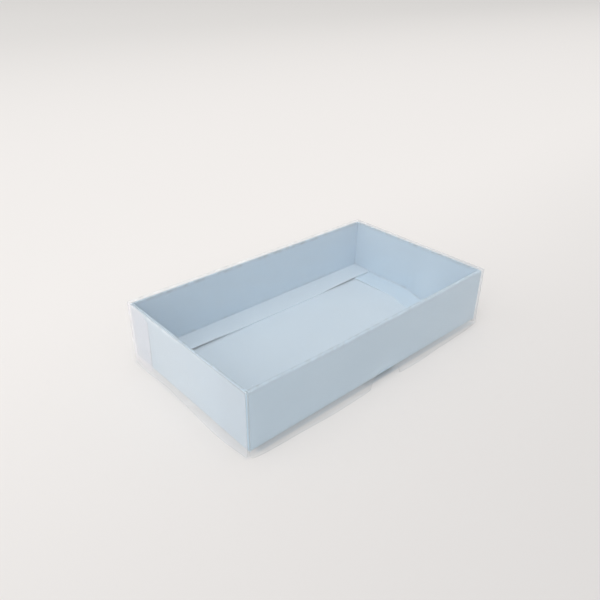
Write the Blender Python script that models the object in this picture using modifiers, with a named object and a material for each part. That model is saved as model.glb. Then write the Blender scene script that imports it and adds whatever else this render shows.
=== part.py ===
"""Acetate box: a folded card tray under a clear film lid that telescopes down over it.

Metres, +Z up. X runs along the box's length and -Y is its front. The tray and the lid are each one
die-cut sheet, split here at its creases into panels. The lid stands on its free edges at z = 0 and
holds the tray a little above them, with the tray's rim against the lid's top panel.
"""

import math
from dataclasses import dataclass

import bmesh
import bpy
from mathutils import Matrix, Vector

OBJECT_NAME = "acetate_box"

# Tray, outside sizes
TRAY_LENGTH = 0.155
TRAY_WIDTH = 0.0895
TRAY_HEIGHT = 0.030
CARD_THICKNESS = 0.0004

# Tray, panels inside
LONG_FLANGE_WIDTH = 0.0125
END_FLANGE_WIDTH = 0.0128
CORNER_TAB_LENGTH = 0.0200
CORNER_TAB_TOP_DROP = 0.0015
CORNER_TAB_CHAMFER = 0.0040
RIM_ROUNDING = 0.00015

# Tray, how far the inner walls' feet lean in from under the rim
LONG_FOOT_LEAN = 0.0003
END_FOOT_LEAN = 0.0009

# Tray, the seam where a long wall's cut edge stops short of the end wall's fold
SEAM_INSET = 0.0005

# Lid
FILM_THICKNESS = 0.0003
LID_OVERHANG = 0.0025
LONG_WALL_BOW = 0.0027
END_WALL_BOW = 0.0018
LID_CORNER_RADIUS = 0.0025
GLUE_TAB_WIDTH = 0.0175
GLUE_TAB_CORNER_RADIUS = 0.0020
GLUE_TAB_FOOT_CLEARANCE = 0.0015

# Lid, the thumb notch in the middle of each long wall
THUMB_NOTCH_WIDTH = 0.0210
THUMB_NOTCH_HEIGHT = 0.0072
THUMB_NOTCH_OFFSET = 0.0015

# Clearances
LAYER_GAP = 0.0003
LONG_SIDE_CLEARANCE = 0.0008
END_RUNNING_CLEARANCE = 0.0004
CUT_OVERRUN = 0.0040

# How the sheets are divided, and the shape of the free edges' bow
FILM_COLUMNS = 18
FILM_ROWS = 5
TAB_COLUMNS = 4
CORNER_SEGMENTS = 4
NOTCH_SEGMENTS = 48
BOW_ALONG_POWER = 4
BOW_DOWN_POWER = 2

# Shares of the card's thickness: the most that a crease is rounded, and what counts as an edge across it
ROUNDING_LIMIT_SHARE = 1 / 3
ACROSS_SHARE = 1 / 2

# Finishes, in linear colour
CARD_BLUE = (0.50, 0.64, 0.76, 1.0)
FILM_CLEAR = (0.92, 0.96, 0.98, 1.0)
CARD_ROUGHNESS = 0.75
FILM_ROUGHNESS = 0.08
FILM_ALPHA = 0.2
PLAIN_METALLIC = 0.0

# Widths worked out from the sizes above: a long rim covers the corner tabs as well as both walls
LONG_RIM_WIDTH = 3 * CARD_THICKNESS + 2 * LAYER_GAP
END_RIM_WIDTH = 2 * CARD_THICKNESS + LAYER_GAP
LONG_INNER_REACH = TRAY_WIDTH / 2 + LONG_SIDE_CLEARANCE
END_INNER_REACH = TRAY_LENGTH / 2 + END_RUNNING_CLEARANCE + FILM_THICKNESS + LAYER_GAP

# Heights worked out from the sizes above
TRAY_TOP = LID_OVERHANG + TRAY_HEIGHT
FLOOR_TOP = LID_OVERHANG + CARD_THICKNESS
RIM_UNDERSIDE = TRAY_TOP - CARD_THICKNESS
WALL_TOP = RIM_UNDERSIDE - LAYER_GAP
END_FLANGE_TOP = FLOOR_TOP + LAYER_GAP + CARD_THICKNESS
LONG_FLANGE_TOP = END_FLANGE_TOP + LAYER_GAP + CARD_THICKNESS
LID_UNDERSIDE = TRAY_TOP + LAYER_GAP
LID_WALL_TOP = LID_UNDERSIDE - LAYER_GAP


@dataclass(frozen=True)
class Side:
    """One side of the box in a frame of its own: x runs along the side and -y points outwards."""

    name: str
    quarter_turns: int
    half_run: float
    reach: float
    rim_width: float
    foot_lean: float
    start: str
    end: str

    @property
    def turn(self):
        """Angle about Z from the front side to this one."""
        return self.quarter_turns * math.pi / 2

    def place(self, obj, at):
        """Stand an object at a place in this side's frame."""
        obj.location = Matrix.Rotation(self.turn, 4, "Z") @ Vector(at)
        obj.rotation_euler = (0.0, 0.0, self.turn)


FRONT = Side("front", 0, TRAY_LENGTH / 2, TRAY_WIDTH / 2, LONG_RIM_WIDTH, LONG_FOOT_LEAN, "left", "right")
RIGHT = Side("right", 1, TRAY_WIDTH / 2, TRAY_LENGTH / 2, END_RIM_WIDTH, END_FOOT_LEAN, "front", "back")
BACK = Side("back", 2, TRAY_LENGTH / 2, TRAY_WIDTH / 2, LONG_RIM_WIDTH, LONG_FOOT_LEAN, "right", "left")
LEFT = Side("left", 3, TRAY_WIDTH / 2, TRAY_LENGTH / 2, END_RIM_WIDTH, END_FOOT_LEAN, "back", "front")
LONG_SIDES = (FRONT, BACK)
END_SIDES = (RIGHT, LEFT)


def clear_scene():
    """Remove every object, so that the box stands alone."""
    for obj in list(bpy.data.objects):
        bpy.data.objects.remove(obj, do_unlink=True)


def new_collection(name):
    """Make a collection and link it to the scene."""
    collection = bpy.data.collections.new(name)
    bpy.context.scene.collection.children.link(collection)
    return collection


def new_empty(name, collection):
    """Make an empty at the origin, on the axis that the lid slides along."""
    empty = bpy.data.objects.new(name, None)
    collection.objects.link(empty)
    return empty


def finish(name, colour, roughness, alpha):
    """Make one Principled material."""
    material = bpy.data.materials.new(name)
    material.use_nodes = True
    shader = material.node_tree.nodes["Principled BSDF"]
    shader.inputs["Base Color"].default_value = colour
    shader.inputs["Roughness"].default_value = roughness
    shader.inputs["Metallic"].default_value = PLAIN_METALLIC
    shader.inputs["Alpha"].default_value = alpha
    return material


def card_finish(name):
    """Make a panel's own matt blue card."""
    return finish(name + "_card", CARD_BLUE, CARD_ROUGHNESS, 1.0)


def film_finish(name):
    """Make a panel's own clear film."""
    return finish(name + "_film", FILM_CLEAR, FILM_ROUGHNESS, FILM_ALPHA)


def object_from(bm, name, collection, parent, material=None):
    """Turn a bmesh into a named object under its parent."""
    mesh = bpy.data.meshes.new(name)
    bm.to_mesh(mesh)
    bm.free()
    if material is not None:
        mesh.materials.append(material)
    obj = bpy.data.objects.new(name, mesh)
    obj.parent = parent
    collection.objects.link(obj)
    return obj


def unit_block(low, high):
    """Make a box between two corners."""
    size = Vector(high) - Vector(low)
    centre = (Vector(high) + Vector(low)) / 2
    bm = bmesh.new()
    bmesh.ops.create_cube(bm, size=1.0, matrix=Matrix.Translation(centre) @ Matrix.Diagonal((*size, 1.0)))
    return bm


def card_block(name, side, low, high, tray, at=(0.0, 0.0, 0.0)):
    """Make a flat card panel between two corners in a side's frame."""
    obj = object_from(unit_block(low, high), name, *tray, card_finish(name))
    side.place(obj, at)
    return obj


def floor_panel(tray):
    """The tray's floor, inside the four outer walls."""
    half_x = TRAY_LENGTH / 2 - CARD_THICKNESS - LAYER_GAP
    half_y = TRAY_WIDTH / 2 - CARD_THICKNESS - LAYER_GAP
    low = (-half_x, -half_y, LID_OVERHANG)
    high = (half_x, half_y, FLOOR_TOP)
    return card_block("floor_panel", FRONT, low, high, tray)


def outer_wall(side, tray):
    """The wall's outer layer: long ones run past the end ones, which turn the corner as tabs."""
    if side in LONG_SIDES:
        half = side.half_run - SEAM_INSET
    else:
        half = side.half_run - CARD_THICKNESS - LAYER_GAP
    low = (-half, -side.reach, LID_OVERHANG)
    high = (half, -side.reach + CARD_THICKNESS, WALL_TOP)
    return card_block(side.name + "_outer_wall", side, low, high, tray)


def rim(side, tray):
    """The narrow strip between the two creases that turn the wall double."""
    if side in LONG_SIDES:
        half = side.half_run - SEAM_INSET
    else:
        half = side.half_run - LONG_RIM_WIDTH - LAYER_GAP
    low = (-half, -side.reach, RIM_UNDERSIDE)
    high = (half, -side.reach + side.rim_width, TRAY_TOP)
    obj = card_block(side.name + "_rim", side, low, high, tray)
    rounding = obj.modifiers.new("rounded creases", "BEVEL")
    rounding.width = min(RIM_ROUNDING, CARD_THICKNESS * ROUNDING_LIMIT_SHARE)
    rounding.segments = 2
    return obj


def inner_half_run(side):
    """Half the length of an inner wall: the long ones fit between the feet of the end ones."""
    if side in LONG_SIDES:
        return side.half_run - END_RIM_WIDTH - END_FOOT_LEAN - LAYER_GAP
    return side.half_run - 2 * CARD_THICKNESS - 3 * LAYER_GAP


def flange_top(side):
    """Height of a flange's upper face: the long ones lie on the end ones."""
    return LONG_FLANGE_TOP if side in LONG_SIDES else END_FLANGE_TOP


def inner_wall(side, tray):
    """The wall's inner layer, hanging from the rim, its foot leaning in over the floor."""
    half = inner_half_run(side)
    foot = flange_top(side) - CARD_THICKNESS
    inner_face = -side.reach + side.rim_width
    bm = unit_block((-half, inner_face - CARD_THICKNESS, foot), (half, inner_face, WALL_TOP))
    for vert in bm.verts:
        if math.isclose(vert.co.z, foot, abs_tol=CARD_THICKNESS):
            vert.co.y += side.foot_lean
    name = side.name + "_inner_wall"
    obj = object_from(bm, name, *tray, card_finish(name))
    side.place(obj, (0.0, 0.0, 0.0))
    return obj


def floor_flange(side, tray):
    """The inner wall's turned-in flap on the floor, with its origin on the crease it turns about."""
    if side in LONG_SIDES:
        half, width = inner_half_run(side) - LAYER_GAP, LONG_FLANGE_WIDTH
    else:
        half, width = inner_half_run(side), END_FLANGE_WIDTH
    crease = -side.reach + side.rim_width + side.foot_lean + LAYER_GAP
    low = (-half, 0.0, -CARD_THICKNESS)
    high = (half, width, 0.0)
    name = side.name + "_floor_flange"
    return card_block(name, side, low, high, tray, (0.0, crease, flange_top(side)))


def corner_tab(side, direction, end_name, tray):
    """An end wall's tab, round the corner and trapped inside a long double wall."""
    corner = side.half_run - CARD_THICKNESS - LAYER_GAP
    inward = corner - CORNER_TAB_LENGTH
    outer_face = -side.reach + CARD_THICKNESS + LAYER_GAP
    low_x, high_x = sorted((direction * corner, direction * inward))
    low = (low_x, outer_face, FLOOR_TOP + LAYER_GAP)
    high = (high_x, outer_face + CARD_THICKNESS, WALL_TOP - CORNER_TAB_TOP_DROP)
    bm = unit_block(low, high)
    free_edges = [
        edge for edge in bm.edges
        if all(math.isclose(vert.co.x, direction * inward, abs_tol=CARD_THICKNESS) for vert in edge.verts)
        and abs(edge.verts[0].co.y - edge.verts[1].co.y) > CARD_THICKNESS * ACROSS_SHARE
    ]
    bmesh.ops.bevel(bm, geom=free_edges, offset=CORNER_TAB_CHAMFER, segments=1, affect="EDGES")
    name = f"{side.name}_{end_name}_corner_tab"
    obj = object_from(bm, name, *tray, card_finish(name))
    side.place(obj, (0.0, 0.0, 0.0))
    return obj


def sheet(run, heights, face, columns, rows, rounded_ends=(), radius=0.0):
    """Make an open upright sheet from a grid: run is along x, and face gives y at each x and z.

    The grid's lower corners at the ends named in rounded_ends (-1 and 1) are rounded off.
    """
    bm = bmesh.new()
    bmesh.ops.create_grid(bm, x_segments=columns, y_segments=rows, size=1.0)
    corners = [
        vert for vert in bm.verts
        if len(vert.link_faces) == 1 and vert.co.y < 0 and math.copysign(1, vert.co.x) in rounded_ends
    ]
    for vert in bm.verts:
        x = run[0] + (run[1] - run[0]) * (vert.co.x + 1) / 2
        z = heights[0] + (heights[1] - heights[0]) * (vert.co.y + 1) / 2
        vert.co = (x, 0.0, z)
    if corners:
        bmesh.ops.bevel(
            bm, geom=corners, offset=radius, segments=CORNER_SEGMENTS, profile=0.5, affect="VERTICES"
        )
    for vert in bm.verts:
        vert.co.y = face(vert.co.x, vert.co.z)
    bmesh.ops.triangulate(bm, faces=bm.faces)
    return bm


def thicken(obj, thickness):
    """Give a sheet its thickness, on its outward side."""
    solidify = obj.modifiers.new("sheet thickness", "SOLIDIFY")
    solidify.thickness = thickness
    solidify.offset = 1.0
    solidify.use_even_offset = True


def bow_at(x, z, half, bow):
    """How far a lid wall stands out: nothing at its corners and its fold, most at mid-edge."""
    along = 1 - abs(x / half) ** BOW_ALONG_POWER
    down = ((LID_WALL_TOP - z) / LID_WALL_TOP) ** BOW_DOWN_POWER
    return bow * along * down


def lid_wall_half(side):
    """Half the length of a lid wall: the end ones fit between the long ones."""
    if side in LONG_SIDES:
        return END_INNER_REACH + FILM_THICKNESS
    return LONG_INNER_REACH - LAYER_GAP


def end_wall_face(x, z):
    """The inner face of an end wall of the lid."""
    return -END_INNER_REACH - bow_at(x, z, lid_wall_half(RIGHT), END_WALL_BOW)


def long_wall_face(x, z):
    """The inner face of a long wall of the lid."""
    return -LONG_INNER_REACH - bow_at(x, z, lid_wall_half(FRONT), LONG_WALL_BOW)


def thumb_notch_cutter(side, cutters):
    """A half-moon bar through the middle of a long lid wall's free edge."""
    half_depth = FILM_THICKNESS + LONG_WALL_BOW + CUT_OVERRUN
    scale = Matrix.Diagonal((THUMB_NOTCH_WIDTH / 2, half_depth, THUMB_NOTCH_HEIGHT, 1.0))
    lie_along_y = Matrix.Rotation(math.pi / 2, 4, "X")
    bm = bmesh.new()
    bmesh.ops.create_cone(
        bm, cap_ends=True, segments=NOTCH_SEGMENTS, radius1=1.0, radius2=1.0, depth=2.0,
        matrix=scale @ lie_along_y,
    )
    cutter = object_from(bm, side.name + "_thumb_notch_cutter", cutters, None)
    cutter.display_type = "WIRE"
    cutter.hide_render = True
    offset = THUMB_NOTCH_OFFSET if side is FRONT else -THUMB_NOTCH_OFFSET
    side.place(cutter, (offset, -LONG_INNER_REACH, 0.0))
    return cutter


def lid_wall(side, lid, cutters):
    """One wall of the lid, its free edge bowed out, with a thumb notch on the long sides."""
    half = lid_wall_half(side)
    face = long_wall_face if side in LONG_SIDES else end_wall_face
    bm = sheet(
        (-half, half), (0.0, LID_WALL_TOP), face, FILM_COLUMNS, FILM_ROWS, (-1, 1), LID_CORNER_RADIUS
    )
    name = f"lid_{side.name}_wall"
    obj = object_from(bm, name, *lid, film_finish(name))
    thicken(obj, FILM_THICKNESS)
    side.place(obj, (0.0, 0.0, 0.0))
    if side in LONG_SIDES:
        notch = obj.modifiers.new("thumb notch", "BOOLEAN")
        notch.operation = "DIFFERENCE"
        notch.solver = "EXACT"
        notch.object = thumb_notch_cutter(side, cutters)
    return obj


def glue_tab(side, direction, long_name, lid):
    """A long lid wall's tab, round the corner and glued inside the end wall, following its bow."""
    corner = lid_wall_half(side)
    inward = corner - GLUE_TAB_WIDTH
    run = sorted((direction * corner, direction * inward))

    def tab_face(x, z):
        return end_wall_face(x, z) + LAYER_GAP + FILM_THICKNESS

    bm = sheet(
        run, (GLUE_TAB_FOOT_CLEARANCE, LID_WALL_TOP), tab_face, TAB_COLUMNS, FILM_ROWS,
        (-direction,), GLUE_TAB_CORNER_RADIUS,
    )
    name = f"lid_{long_name}_{side.name}_glue_tab"
    obj = object_from(bm, name, *lid, film_finish(name))
    thicken(obj, FILM_THICKNESS)
    side.place(obj, (0.0, 0.0, 0.0))
    return obj


def lid_top_panel(lid):
    """The lid's flat top, resting on the tray's rim."""
    half_x = END_INNER_REACH + FILM_THICKNESS
    half_y = LONG_INNER_REACH + FILM_THICKNESS
    bm = unit_block((-half_x, -half_y, LID_UNDERSIDE), (half_x, half_y, LID_UNDERSIDE + FILM_THICKNESS))
    return object_from(bm, "lid_top_panel", *lid, film_finish("lid_top_panel"))


def build_tray(parts):
    """Make the card tray, panel by panel."""
    tray = (parts, new_empty("tray", parts))
    floor_panel(tray)
    for side in LONG_SIDES + END_SIDES:
        outer_wall(side, tray)
        rim(side, tray)
        inner_wall(side, tray)
        floor_flange(side, tray)
    for side in LONG_SIDES:
        corner_tab(side, -1, side.start, tray)
        corner_tab(side, 1, side.end, tray)


def build_lid(parts, cutters):
    """Make the clear lid, panel by panel."""
    lid = (parts, new_empty("lid", parts))
    lid_top_panel(lid)
    for side in LONG_SIDES + END_SIDES:
        lid_wall(side, lid, cutters)
    for side in END_SIDES:
        glue_tab(side, -1, side.start, lid)
        glue_tab(side, 1, side.end, lid)


def main():
    """Build the whole box."""
    clear_scene()
    parts = new_collection(OBJECT_NAME)
    cutters = new_collection(OBJECT_NAME + "_cutters")
    build_tray(parts)
    build_lid(parts, cutters)


main()
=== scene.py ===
"""Acetate box: a folded blue card tray with double walls, under a clear film lid that lifts straight off.

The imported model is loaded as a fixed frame. Each sheet of card and film is then made again as a folded
surface with rounded creases, spring and cut edges, on the same planes as the solids that it stands for, and
rides on its body. Lengths are in metres, X runs along the box, -Y is its front and +Z is up.
"""
import logging
import math
from dataclasses import dataclass, field
from enum import Enum

import bpy
import numpy as np
from mathutils import Matrix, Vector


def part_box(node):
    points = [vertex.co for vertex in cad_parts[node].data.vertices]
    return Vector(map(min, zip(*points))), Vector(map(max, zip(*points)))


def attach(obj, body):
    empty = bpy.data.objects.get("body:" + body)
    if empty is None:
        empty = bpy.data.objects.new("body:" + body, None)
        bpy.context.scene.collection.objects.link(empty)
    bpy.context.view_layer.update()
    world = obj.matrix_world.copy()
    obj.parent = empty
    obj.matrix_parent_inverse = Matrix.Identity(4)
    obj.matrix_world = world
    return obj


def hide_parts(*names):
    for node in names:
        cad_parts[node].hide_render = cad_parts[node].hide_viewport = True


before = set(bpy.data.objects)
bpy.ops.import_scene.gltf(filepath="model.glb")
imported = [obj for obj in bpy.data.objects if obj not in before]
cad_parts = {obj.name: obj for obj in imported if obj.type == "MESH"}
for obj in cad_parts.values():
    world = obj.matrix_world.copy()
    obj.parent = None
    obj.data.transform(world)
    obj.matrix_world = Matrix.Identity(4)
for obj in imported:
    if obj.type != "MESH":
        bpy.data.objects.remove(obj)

Array = np.ndarray
Colour = tuple[float, float, float]
Knots = tuple[tuple[float, float], ...]
MM = 0.001
CORNERS = (("front_left", -1, -1), ("front_right", 1, -1), ("back_left", -1, 1), ("back_right", 1, 1))

logging.basicConfig(level=logging.INFO, format="%(message)s")
LOG = logging.getLogger("acetate_box")


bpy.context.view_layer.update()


# Shapes


class Leg(Enum):
    """The straight runs of a tray side's profile, from the floor round to the inner wall's foot."""

    FLOOR = 0
    OUTER_WALL = 1
    RIM = 2
    INNER_WALL = 3
    FLANGE = 4


def fold_mark(distance: Array) -> Array:
    """How strongly a fold marks a place: a bell curve of the distance to it, 0.7 mm to each side."""
    return np.exp(-((distance / (0.7 * MM)) ** 2))


def shoulder(distance: Array) -> Array:
    """A tab's shoulder beside its fold: 1 up to 0.5 mm away, then straight down to 0 at 1.5 mm."""
    return np.clip((1.5 * MM - distance) / (1 * MM), 0, 1)


@dataclass(frozen=True)
class FoldedPath:
    """A flat strip's profile: straight legs joined by rounded folds."""

    corners: Knots
    radii: tuple[float, ...]
    spacing: float = 1.5 * MM
    arc_steps: int = 8
    weights: tuple[float, ...] = (1.0,)

    def trace(self) -> tuple[Array, Array, Array]:
        """Lay points along the profile.

        Each inner corner becomes an arc that touches both legs. Its centre lies on the corner's bisector, at
        the radius over the sine of half the angle between the legs.

        Returns:
            The points, the leg that each belongs to (an arc belongs to the leg after it), and how strongly
            the folds mark each point: the greatest of their marks, each by its fold's weight.
        """
        corners = np.array(self.corners, float)
        points, legs, bends = [corners[:1]], [np.zeros(1)], []
        for leg, (before, at, after) in enumerate(zip(corners[:-2], corners[1:-1], corners[2:])):
            back = (before - at) / np.linalg.norm(before - at)
            ahead = (after - at) / np.linalg.norm(after - at)
            half_angle = math.acos(float(np.clip(back @ ahead, -1, 1))) / 2
            radius = self.radii[leg]
            start = at + back * radius / math.tan(half_angle)
            end = at + ahead * radius / math.tan(half_angle)
            bisector = (back + ahead) / np.linalg.norm(back + ahead)
            centre = at + bisector * radius / math.sin(half_angle)
            points.append(self.run(points[-1][-1], start))
            legs.append(np.full(len(points[-1]), leg))
            sweep = math.pi - 2 * half_angle
            turn = np.linspace(0, sweep, self.arc_steps + 1)[1:, None]
            arc = (start - centre) * np.sin(sweep - turn) + (end - centre) * np.sin(turn)
            bends.append(sum(len(part) for part in points) + self.arc_steps // 2 - 1)
            points.append(centre + arc / math.sin(sweep))
            legs.append(np.full(self.arc_steps, leg + 1))
        points.append(self.run(points[-1][-1], corners[-1]))
        legs.append(np.full(len(points[-1]), len(corners) - 2))
        path = np.concatenate(points)
        walked = np.concatenate([[0], np.cumsum(np.linalg.norm(np.diff(path, axis=0), axis=1))])
        marks = fold_mark(np.abs(walked[:, None] - walked[bends][None, :])) * np.array(self.weights)
        return path, np.concatenate(legs).astype(int), marks.max(axis=1)

    def run(self, start: Array, end: Array) -> Array:
        """Evenly spaced points along a straight leg, without its first, which is already laid."""
        steps = max(1, int(round(float(np.linalg.norm(end - start)) / self.spacing)))
        return start + (end - start) * np.linspace(0, 1, steps + 1)[1:, None]


def smooth_curve(knots: Knots, at: Array) -> Array:
    """Read a smooth curve through a few given points.

    Between two knots it is the cubic that has the knots' values and slopes, where a knot's slope is that of
    its neighbours.

    Args:
        knots: places and values, in order of place.
        at: places to read.

    Returns:
        The curve's values there.
    """
    places, values = np.array(knots, float).T
    slopes = np.gradient(values, places)
    left = np.clip(np.searchsorted(places, at) - 1, 0, len(places) - 2)
    step = places[left + 1] - places[left]
    t = np.clip((at - places[left]) / step, 0, 1)
    start = (1 + 2 * t) * (1 - t) ** 2 * values[left] + t * (1 - t) ** 2 * step * slopes[left]
    end = t**2 * (3 - 2 * t) * values[left + 1] + t**2 * (t - 1) * step * slopes[left + 1]
    return start + end


def ripple(a: Array, b: Array, phase: float) -> Array:
    """A gentle unevenness over a sheet, from -1 to 1: three slanted sine waves of 120, 64 and 37 mm.

    Args:
        a: distance along the sheet.
        b: distance across it.
        phase: shifts the waves, so that no two sheets match.

    Returns:
        The height at each place.
    """
    turn = 2 * math.pi
    slow = np.sin(turn * (a + 0.6 * b) / (120 * MM) + phase)
    middle = np.sin(turn * (0.8 * a - 1.1 * b) / (64 * MM) + 2.3 * phase)
    quick = np.sin(turn * (a + 1.7 * b) / (37 * MM) + 4.1 * phase)
    return 0.5 * slow + 0.3 * middle + 0.2 * quick


class Border(Enum):
    """A sheet's borders that can have a finish of their own, such as a painted shade, by their place in its
    list of faces.
    """

    LAST_ROW = 3
    FIRST_COLUMN = 4


@dataclass
class Sheet:
    """A thin sheet laid over a grid of middle points, with a face on each side and a cut edge all round."""

    name: str
    middle: Array
    thickness: float
    folds: Array
    face_up: bool = True
    sharp_angle: float = math.radians(50)

    def build(self, front: bpy.types.Material, reverse: bpy.types.Material, cut: bpy.types.Material,
              painted_shade: tuple[Border, bpy.types.Material] | None = None) -> bpy.types.Object:
        """Make the closed mesh.

        The two faces are the middle surface moved by half the thickness along its normal, which is the cross
        product of the grid's two directions. Four strips close the border.

        Args:
            front: finish of the sheet's face.
            reverse: finish of its other side.
            cut: finish of the border.
            painted_shade: one border that has another finish, which paints shade on it, and that finish.

        Returns:
            The new object, at the world's origin.
        """
        rows, columns = self.middle.shape[:2]
        normal = np.cross(np.gradient(self.middle, axis=0), np.gradient(self.middle, axis=1))
        normal /= np.linalg.norm(normal, axis=2, keepdims=True)
        offset = normal * self.thickness / 2
        points = np.stack([self.middle + offset, self.middle - offset]).reshape(-1, 3)
        over = np.arange(rows * columns).reshape(rows, columns)
        under = over + rows * columns
        a, b, c, d = over[:-1, :-1], over[1:, :-1], over[1:, 1:], over[:-1, 1:]
        e, f, g, h = under[:-1, :-1], under[1:, :-1], under[1:, 1:], under[:-1, 1:]
        faces = [
            np.stack([a, b, c, d], -1).reshape(-1, 4),
            np.stack([e, h, g, f], -1).reshape(-1, 4),
            np.stack([a[0], d[0], h[0], e[0]], -1),
            np.stack([b[-1], f[-1], g[-1], c[-1]], -1),
            np.stack([a[:, 0], e[:, 0], f[:, 0], b[:, 0]], -1),
            np.stack([d[:, -1], c[:, -1], g[:, -1], h[:, -1]], -1),
        ]
        materials = [front, reverse, cut]
        slots = [0, 1, 2, 2, 2, 2] if self.face_up else [1, 0, 2, 2, 2, 2]
        if painted_shade:
            border, finish = painted_shade
            slots[border.value] = len(materials)
            materials.append(finish)
        mesh = bpy.data.meshes.new(self.name)
        mesh.from_pydata(points.tolist(), [], np.concatenate(faces).tolist())
        for material in materials:
            mesh.materials.append(material)
        index = np.repeat(slots, [len(part) for part in faces])
        mesh.polygons.foreach_set("material_index", index.astype(np.int32))
        marks = np.broadcast_to(self.folds, (2, rows, columns)).reshape(-1)
        fold = mesh.attributes.new("fold", "FLOAT", "POINT")
        fold.data.foreach_set("value", marks.astype(np.float32))
        mesh.shade_smooth()
        mesh.set_sharp_from_angle(angle=self.sharp_angle)
        mesh.validate()
        sheet = bpy.data.objects.new(self.name, mesh)
        bpy.context.scene.collection.objects.link(sheet)
        return sheet


# Finishes


class NodeBench:
    """Lays out the nodes of one material or group."""

    def __init__(self, tree: bpy.types.NodeTree) -> None:
        """Start on a material's or a group's node tree."""
        self.tree = tree

    def add(self, kind: str, inputs: dict | None = None, **settings: object) -> bpy.types.Node:
        """Add a node.

        Args:
            kind: the node's type name.
            inputs: plain values, or sockets to link, by input name or number.
            settings: the node's own properties.

        Returns:
            The new node.
        """
        node = self.tree.nodes.new(kind)
        for key, value in settings.items():
            setattr(node, key, value)
        self.feed(node, inputs or {})
        return node

    def feed(self, node: bpy.types.Node, inputs: dict) -> None:
        """Fill a node's inputs.

        Args:
            node: the node.
            inputs: plain values, or sockets to link, by input name or number.
        """
        for key, value in inputs.items():
            if isinstance(value, bpy.types.NodeSocket):
                self.tree.links.new(value, node.inputs[key])
            else:
                node.inputs[key].default_value = value

    def math(self, operation: str, first: object, second: object = 0.0) -> bpy.types.NodeSocket:
        """A Math node's output, from one or two plain values or sockets."""
        return self.add("ShaderNodeMath", {0: first, 1: second}, operation=operation).outputs[0]

    def effect(self, group: bpy.types.NodeTree, inputs: dict) -> bpy.types.NodeOutputs:
        """Place a shared effect with its plain values and sockets, and give its outputs."""
        return self.add("ShaderNodeGroup", inputs, node_tree=group).outputs

    def bump(self, height: bpy.types.NodeSocket, distance: float, strength: float) -> bpy.types.NodeSocket:
        """A normal from a relief that is distance high, in metres, used by a share."""
        inputs = {"Strength": strength, "Distance": distance, "Height": height}
        return self.add("ShaderNodeBump", inputs).outputs[0]

    def opposite(self, value: object) -> bpy.types.NodeSocket:
        """One less a value."""
        return self.math("SUBTRACT", 1.0, value)

    def largest(self, *values: object) -> bpy.types.NodeSocket:
        """The largest of two or more values."""
        largest = values[0]
        for value in values[1:]:
            largest = self.math("MAXIMUM", largest, value)
        return largest

    def noise(self, place: object, size: float, detail: float, roughness: float = 0.55
              ) -> bpy.types.NodeSocket:
        """Noise from 0 to 1, with blobs about one size across, in metres, and so many finer layers."""
        inputs = {"Vector": place, "Scale": 1 / size, "Detail": detail, "Roughness": roughness}
        return self.add("ShaderNodeTexNoise", inputs).outputs["Fac"]

    def remap(self, value: object, low: float, high: float, to_low: float, to_high: float
              ) -> bpy.types.NodeSocket:
        """Stretch the values from low to high to another range, held at both its ends."""
        inputs = {"Value": value, "From Min": low, "From Max": high, "To Min": to_low, "To Max": to_high}
        return self.add("ShaderNodeMapRange", inputs).outputs["Result"]

    def ease(self, value: object, low: float, high: float) -> bpy.types.NodeSocket:
        """A smooth step, which leaves 0 at low and reaches 1 at high."""
        inputs = {"Value": value, "From Min": low, "From Max": high}
        return self.add("ShaderNodeMapRange", inputs, interpolation_type="SMOOTHSTEP").outputs["Result"]

    def blend(self, share: object, first: object, second: object) -> bpy.types.NodeSocket:
        """Mix two plain colours or sockets, by the share of the second."""
        first, second = ((*value, 1.0) if isinstance(value, tuple) else value for value in (first, second))
        return self.add("ShaderNodeMix", {0: share, 6: first, 7: second}, data_type="RGBA").outputs[2]


class SocketKind(Enum):
    """What a group's socket carries."""

    PLACE = "NodeSocketVector"
    COLOUR = "NodeSocketColor"
    NUMBER = "NodeSocketFloat"


def effect_group(name: str, takes: dict[str, SocketKind], gives: dict[str, SocketKind]
                 ) -> tuple[NodeBench, bpy.types.NodeOutputs, bpy.types.Node]:
    """Start a shared effect, with named sockets.

    Args:
        name: the group's name.
        takes: input names and their kinds.
        gives: output names and their kinds.

    Returns:
        The bench to lay its nodes on, what the group takes, by name, and the node that takes what it gives.
    """
    tree = bpy.data.node_groups.new(name, "ShaderNodeTree")
    for in_out, sockets in (("INPUT", takes), ("OUTPUT", gives)):
        for label, kind in sockets.items():
            tree.interface.new_socket(label, in_out=in_out, socket_type=kind.value)
    bench = NodeBench(tree)
    return bench, bench.add("NodeGroupInput").outputs, bench.add("NodeGroupOutput")


def card_stock_group() -> bpy.types.NodeTree:
    """Coated card: slow cloudiness in the tint, and a fine fibre relief.

    Returns:
        The group.
    """
    bench, takes, result = effect_group(
        "card stock",
        {"Place": SocketKind.PLACE, "Tint": SocketKind.COLOUR, "Pale tint": SocketKind.COLOUR,
         "Cloudiness": SocketKind.NUMBER},
        {"Colour": SocketKind.COLOUR, "Relief": SocketKind.NUMBER},
    )
    cloud_size, speck_size, fibre_size = 26 * MM, 1.1 * MM, 0.45 * MM
    cloud_range, speck_range, speck_share = (0.35, 0.65), (0.35, 0.75), 0.5
    along_fibres = (0.45, 1.0, 1.0)
    clouds = bench.noise(takes["Place"], cloud_size, detail=2.0)
    specks = bench.noise(takes["Place"], speck_size, detail=4.0, roughness=0.65)
    both = bench.math("ADD", bench.remap(clouds, *cloud_range, 0.0, 1.0),
                      bench.remap(specks, *speck_range, 0.0, speck_share))
    share = bench.math("MULTIPLY", both, takes["Cloudiness"])
    stretched = bench.add("ShaderNodeMapping", {"Vector": takes["Place"], "Scale": along_fibres})
    fibres = bench.noise(stretched.outputs[0], fibre_size, detail=5.0, roughness=0.6)
    bench.feed(result, {"Colour": bench.blend(share, takes["Tint"], takes["Pale tint"]), "Relief": fibres})
    return bench.tree


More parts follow.
